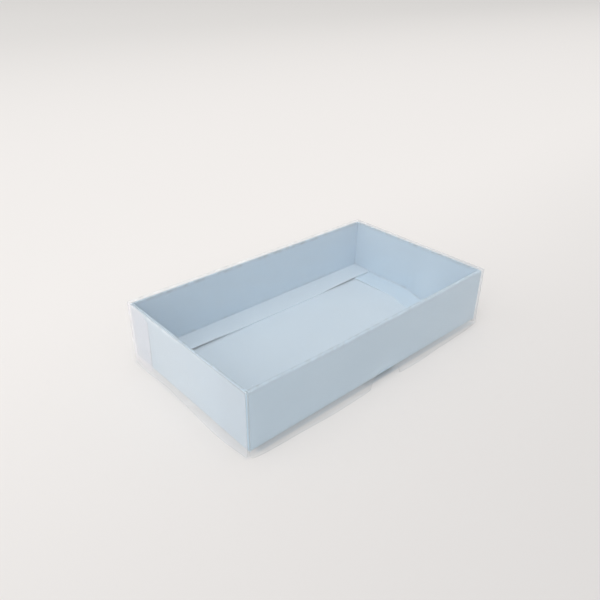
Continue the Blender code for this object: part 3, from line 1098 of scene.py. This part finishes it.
    def glue_tab(self, name: str, side_x: int, side_y: int, knots: Knots) -> None:
        """A long wall's tab: round the upright corner fold, then inside the end wall, following its bow.

        Its lower edge has rounded corners, and its upper edge slants down to the tip.

        Args:
            name: the corner, such as front_left.
            side_x: -1 or 1 along X.
            side_y: -1 or 1 along Y.
            knots: the end wall's free edge curve.
        """
        s = self.sizes
        long_middle = s.half_width - self.gauge / 2
        start = s.half_length - s.film - 2 * self.fold + self.hairline
        end_middle = s.half_length - 1.5 * self.gauge - self.tab_gap
        tip = s.end_wall_half - s.tab_width
        path, _, marks = FoldedPath(
            ((start, long_middle), (end_middle, long_middle), (end_middle, tip)),
            (end_middle - start - self.hairline,), spacing=self.tab_spacing).trace()
        out, y = path[:, :1], path[:, 1:2]
        from_tip = y - tip
        at_corner = shoulder(long_middle - y)
        low = self.rounded_corner(from_tip) + s.tab_foot * (1 - at_corner) + self.tab_edge_gap
        slant = self.tab_slant * np.clip(1 - from_tip / self.tab_slant_run, 0, 1)
        z = low + (s.top - s.film - self.tab_edge_gap - slant - low) * np.linspace(0, 1, self.tab_rows)
        turned = np.clip((out - start) / (end_middle - start), 0, 1)
        x = out + self.bow(knots, side_y * y / s.end_wall_half, z) * turned * (1 - at_corner)
        grid = np.stack(np.broadcast_arrays(side_x * x, side_y * y, z), -1)
        finish = self.finishes.film_glued if name == "back_left" else self.finishes.film_wetted
        self.lay(f"film_{name}_glue_tab", (f"lid_{name}_glue_tab",), grid, marks[:, None], finish, finish)

    def build(self) -> None:
        """Make every panel of the lid."""
        self.top_and_long_walls()
        self.end_wall("left", -1, self.left_bow)
        self.end_wall("right", 1, self.right_bow)
        for name, side_x, side_y in CORNERS:
            self.glue_tab(name, side_x, side_y, self.left_bow if side_x < 0 else self.right_bow)


# The studio


def stand(name: str, data: bpy.types.Light | bpy.types.Camera, axes: tuple[Array, Array, Array],
          place: tuple[float, float, float]) -> bpy.types.Object:
    """Put a lamp or a camera into the scene. Both look along their own -Z.

    Args:
        name: its name.
        data: what it is.
        axes: where its own X, Y and Z point.
        place: where it stands.

    Returns:
        The new object.
    """
    matrix = np.eye(4)
    matrix[:3] = np.column_stack([*axes, place])
    thing = bpy.data.objects.new(name, data)
    thing.matrix_world = Matrix(matrix.tolist())
    bpy.context.scene.collection.objects.link(thing)
    return thing


@dataclass(frozen=True)
class Lamp:
    """A square area lamp that faces the box."""

    name: str
    place: tuple[float, float, float]
    size: float
    power: float
    colour: Colour

    def build(self) -> None:
        """Stand the lamp, with its face turned to the world's origin."""
        data = bpy.data.lights.new(self.name, "AREA")
        data.size, data.energy, data.color = self.size, self.power, self.colour
        away = np.array(self.place, float) / np.linalg.norm(self.place)
        side = np.cross([0.0, 0.0, 1.0], away)
        side /= np.linalg.norm(side)
        stand(self.name, data, (side, np.cross(away, side), away), self.place)


@dataclass(frozen=True)
class TableFinish:
    """A pale table, a little mottled, that gets paler to the back as the photograph's backdrop does.

    It is part lit and part evenly glowing. Under the tray it glows less and is tinted, which stands in for
    the soft shade under the raised tray. The shade follows the tray's footprint, fades under its left end,
    and thins out at its edges, away from the thumb notch and to the right.
    """

    half_length: float
    half_width: float
    near: Colour = (0.686, 0.670, 0.664)
    near_clouds: Colour = (0.672, 0.658, 0.650)
    middle: Colour = (0.870, 0.846, 0.828)
    far: Colour = (0.78, 0.763, 0.745)
    shade: Colour = (0.56, 0.60, 0.63)
    cloud_size: float = 0.4
    cloud_range: tuple[float, float] = (0.3, 0.7)
    roughness: float = 0.8
    specular: float = 0.2
    glow: float = 1.0
    glow_share: float = 0.5
    # Where along Y the near tint gives way to the middle one, and that to the far one: painted light, which
    # pales the table behind the box and greys it further off
    middle_start: tuple[float, float] = (-0.3, 0.15)
    far_start: tuple[float, float] = (0.35, 1.6)
    # Where past the footprint the shade's tint and its dimming end, and how much a distance past its right
    # end counts
    tint_edge: tuple[float, float] = (-0.8 * MM, 1.2 * MM)
    glow_edge: tuple[float, float] = (-0.8 * MM, 6.5 * MM)
    right_softness: float = 0.25
    # The shade from the footprint's left end: a faint strip at the lid's edge, then the full shade inside
    left_strip: tuple[float, float] = (-3.2 * MM, -1.2 * MM)
    left_strip_share: float = 0.25
    left_inside: tuple[float, float] = (1.5 * MM, 7 * MM)
    # How thin the shade is: at the notch and away from it, and the more towards the right
    notch_middle: float = 1.5 * MM
    notch_reach: tuple[float, float] = (8 * MM, 11 * MM)
    notch_veil: tuple[float, float] = (0.3, 0.75)
    right_reach: tuple[float, float] = (40 * MM, 75 * MM)
    right_veil: float = 0.45

    def make(self) -> bpy.types.Material:
        """Build the material.

        Returns:
            The finished material.
        """
        material, bench, shader, place = start_material("table")
        axes = bench.add("ShaderNodeSeparateXYZ", {0: place}).outputs
        clouds = bench.noise(place, self.cloud_size, detail=2.0)
        mottled = bench.remap(clouds, *self.cloud_range, 0.0, 1.0)
        near = bench.blend(mottled, self.near, self.near_clouds)
        # Painted light: the table pales behind the box and greys further off
        middle = bench.blend(bench.ease(axes["Y"], *self.middle_start), near, self.middle)
        open_table = bench.blend(bench.ease(axes["Y"], *self.far_start), middle, self.far)
        painted_shade, dimmed = self.shade_masks(bench, axes["X"], axes["Y"])
        colour = bench.blend(painted_shade, open_table, self.shade)
        ray = bench.add("ShaderNodeLightPath").outputs
        seen = bench.largest(ray["Is Camera Ray"], ray["Is Glossy Ray"], ray["Is Transmission Ray"])
        share = bench.math("MULTIPLY", bench.math("MULTIPLY", seen, bench.opposite(dimmed)), self.glow_share)
        glow = bench.add("ShaderNodeEmission", {"Color": colour, "Strength": self.glow})
        mixed = bench.add("ShaderNodeMixShader", {0: share, 1: shader.outputs[0], 2: glow.outputs[0]})
        bench.feed(shader, {
            "Base Color": colour, "Roughness": self.roughness, "Specular IOR Level": self.specular})
        surface = next(node for node in bench.tree.nodes if node.type == "OUTPUT_MATERIAL")
        bench.feed(surface, {"Surface": mixed.outputs[0]})
        return material

    def shade_masks(self, bench: NodeBench, across: bpy.types.NodeSocket, deep: bpy.types.NodeSocket
                    ) -> tuple[bpy.types.NodeSocket, bpy.types.NodeSocket]:
        """Where the tray shades the table.

        Args:
            bench: the material's bench.
            across: place along X.
            deep: place along Y.

        Returns:
            The share of the shade's tint, and the share of the glow that is lost.
        """
        past_side = bench.math("SUBTRACT", bench.math("ABSOLUTE", deep), self.half_width)
        past_end = bench.math("SUBTRACT", across, self.half_length)
        beyond = bench.largest(past_side, bench.math("MULTIPLY", past_end, self.right_softness))
        strip, inside = (bench.ease(across, *(place - self.half_length for place in reach))
                         for reach in (self.left_strip, self.left_inside))
        sheltered = bench.largest(bench.math("MULTIPLY", strip, self.left_strip_share), inside)
        under = bench.opposite(bench.ease(beyond, *self.tint_edge))
        from_notch = bench.math("ABSOLUTE", bench.math("SUBTRACT", across, self.notch_middle))
        by_notch = bench.remap(bench.ease(from_notch, *self.notch_reach), 0, 1, *self.notch_veil)
        veil = bench.math("ADD", by_notch, bench.remap(across, *self.right_reach, 0, self.right_veil))
        ramp = bench.largest(bench.ease(beyond, *self.glow_edge), bench.math("MULTIPLY", under, veil))
        dimmed = bench.math("MULTIPLY", sheltered, bench.opposite(ramp))
        return bench.math("MULTIPLY", under, sheltered), dimmed


@dataclass
class Studio:
    """A pale floor, soft light from the left and above, and the camera."""

    footprint: tuple[float, float]
    camera_azimuth: float = 42.270
    camera_elevation: float = 29.649
    camera_roll: float = 0.6297
    camera_place: tuple[float, float, float] = (-0.181730, -0.188389, 0.173073)
    focal_share: float = 597.03 / 600
    sensor: float = 36.0
    nearest_seen: float = 0.01
    sky_colour: Colour = (1.0, 0.99, 0.985)
    sky_strength: float = 0.59
    mirrored_sky_strength: float = 0.55
    seen_sky_strength: float = 0.8
    table_reach: float = 12.0
    lamps: tuple[Lamp, ...] = (
        Lamp("left_front_lamp", (-2.82, -1.73, 2.6), 3.0, 66.5, (1.0, 0.99, 0.975)),
        Lamp("left_back_lamp", (-3.0, 1.6, 2.4), 3.0, 22.5, (1.0, 0.99, 0.975)),
        Lamp("top_lamp", (-0.1, -0.1, 4.2), 3.6, 46.0, (1.0, 0.99, 0.98)),
    )

    def camera(self) -> None:
        """Stand the camera at the photograph's place, from its azimuth, elevation and roll."""
        azimuth, elevation, roll = np.radians((self.camera_azimuth, self.camera_elevation, self.camera_roll))
        ahead = np.array([math.sin(azimuth) * math.cos(elevation), math.cos(azimuth) * math.cos(elevation),
                          -math.sin(elevation)])
        right = np.array([math.cos(azimuth), -math.sin(azimuth), 0.0])
        up = np.cross(right, ahead)
        rolled_right = right * math.cos(roll) + up * math.sin(roll)
        rolled_up = up * math.cos(roll) - right * math.sin(roll)
        data = bpy.data.cameras.new("camera")
        data.sensor_width = self.sensor
        data.lens = self.sensor * self.focal_share
        data.clip_start = self.nearest_seen
        axes = (rolled_right, rolled_up, -ahead)
        bpy.context.scene.camera = stand("camera", data, axes, self.camera_place)

    def floor(self) -> None:
        """Lay the table: one wide square."""
        mesh = bpy.data.meshes.new("table")
        corners = self.table_reach * np.array([(-1, -1, 0), (1, -1, 0), (1, 1, 0), (-1, 1, 0)])
        mesh.from_pydata(corners.tolist(), [], [(0, 1, 2, 3)])
        mesh.materials.append(TableFinish(*self.footprint).make())
        table = bpy.data.objects.new("table", mesh)
        bpy.context.scene.collection.objects.link(table)

    def sky(self) -> None:
        """Even light from all round, and a pale backdrop for what is seen or mirrored."""
        world = bpy.data.worlds.new("studio")
        bpy.context.scene.world = world
        world.use_nodes = True
        world.node_tree.nodes.clear()
        bench = NodeBench(world.node_tree)
        ray = bench.add("ShaderNodeLightPath").outputs
        seen = bench.largest(ray["Is Camera Ray"], ray["Is Transmission Ray"])
        mirrored = bench.remap(ray["Is Glossy Ray"], 0, 1, self.sky_strength, self.mirrored_sky_strength)
        strength = bench.largest(mirrored, bench.math("MULTIPLY", seen, self.seen_sky_strength))
        background = bench.add("ShaderNodeBackground", {"Color": (*self.sky_colour, 1), "Strength": strength})
        bench.add("ShaderNodeOutputWorld", {"Surface": background.outputs[0]})

    def build(self) -> None:
        """Set the whole studio up."""
        self.camera()
        self.floor()
        for lamp in self.lamps:
            lamp.build()
        self.sky()
        bpy.context.scene.view_settings.view_transform = "Standard"


def main() -> None:
    """Build the tray, the lid and the studio in order, and keep the two boxes."""
    finishes = Finishes()
    tray = TraySizes.read()
    CardTray(tray, finishes).build()
    FilmLid(LidSizes.read(), finishes).build()
    Studio(footprint=(tray.half_length, tray.half_width)).build()


if __name__ == "__main__":
    main()
